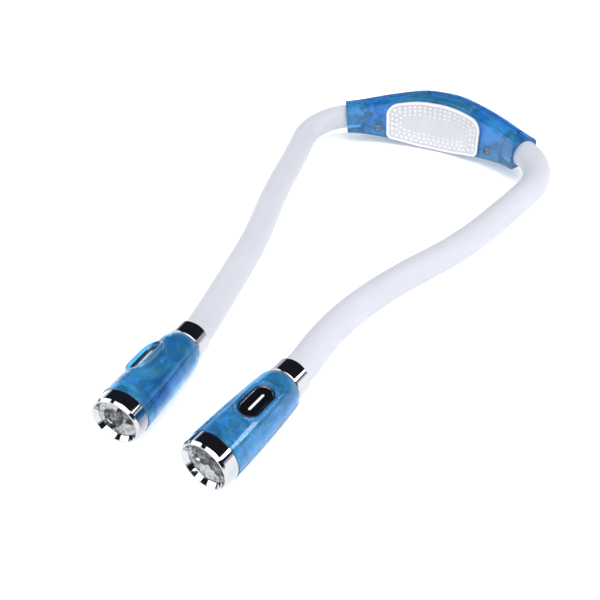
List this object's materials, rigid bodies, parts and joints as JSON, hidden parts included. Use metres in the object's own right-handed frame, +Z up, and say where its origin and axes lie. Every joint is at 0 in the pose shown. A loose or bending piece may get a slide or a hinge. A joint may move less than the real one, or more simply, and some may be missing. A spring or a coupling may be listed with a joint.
{
  "type": "neck reading light",
  "caption": "Hands-free reading light worn round the neck: a curved battery housing with bendable padded arms that each carry a small lamp head with a push-button",
  "frame": {"origin": "Middle of the flat underside of the battery housing, on the surface that the light lies on", "axes": "+Z up when the light lies on a table; +Y away from the wearer's neck, out through the back of the housing, and the arms reach along -Y; +X to the right as seen from in front of the lamp heads"},
  "size_m": [0.1757, 0.3123, 0.0374],
  "materials": {
    "blue_shell": "glossy translucent moulding",
    "white_cover": "satin",
    "soft_sleeve": "soft matte, off-white",
    "chrome_trim": "polished",
    "reflector_silver": "vacuum-plated",
    "clear_led": "clear epoxy",
    "black_button": "glossy",
    "black_switch": "moulded",
    "circuit_board": "solder mask",
    "wire_insulation": "extruded",
    "gooseneck_steel": "wound steel",
    "contact_metal": "plated",
    "cell_jacket": "printed jacket, bare of text",
    "screw_steel": "zinc-plated"
  },
  "bodies": {
    "housing": {"outer_shell": "blue_shell", "inner_shell": "blue_shell", "battery_cells": "cell_jacket", "contact_plates": "contact_metal", "contact_springs": "contact_metal", "housing_screws": "screw_steel", "left_sleeve": "soft_sleeve", "left_gooseneck_core": "gooseneck_steel", "left_cable": "wire_insulation", "left_neck_anchor": "gooseneck_steel", "left_collar": "chrome_trim", "left_upper_shell": "blue_shell", "left_lower_shell": "blue_shell", "left_shell_screws": "screw_steel", "left_bezel": "chrome_trim", "left_reflector": "reflector_silver", "left_leds": "clear_led", "left_led_board": "circuit_board", "left_button_frame": "chrome_trim", "left_switch": "black_switch", "left_switch_board": "circuit_board", "left_head_wires": "wire_insulation", "right_sleeve": "soft_sleeve", "right_gooseneck_core": "gooseneck_steel", "right_cable": "wire_insulation", "right_neck_anchor": "gooseneck_steel", "right_collar": "chrome_trim", "right_upper_shell": "blue_shell", "right_lower_shell": "blue_shell", "right_shell_screws": "screw_steel", "right_bezel": "chrome_trim", "right_reflector": "reflector_silver", "right_leds": "clear_led", "right_led_board": "circuit_board", "right_button_frame": "chrome_trim", "right_switch": "black_switch", "right_switch_board": "circuit_board", "right_head_wires": "wire_insulation"},
    "left_button": {"left_button": "black_button", "left_switch_plunger": "black_switch"},
    "right_button": {"right_button": "black_button", "right_switch_plunger": "black_switch"},
    "battery_cover": {"battery_cover": "white_cover"}
  },
  "joints": [
    {"name": "left_button_press", "type": "slide", "parent": "housing", "child": "left_button", "axis": [0.4451, -0.0995, -0.89], "range_m": [0, 0.0008], "stiffness_N_per_m": 1500, "springref_m": -0.0003},
    {"name": "right_button_press", "type": "slide", "parent": "housing", "child": "right_button", "axis": [-0.2426, -0.1963, -0.9501], "range_m": [0, 0.0008], "stiffness_N_per_m": 1500, "springref_m": -0.0003},
    {"name": "battery_cover_lift", "type": "slide", "parent": "housing", "child": "battery_cover", "axis": [0, -1, 0], "range_m": [0, 0.012]}
  ]
}
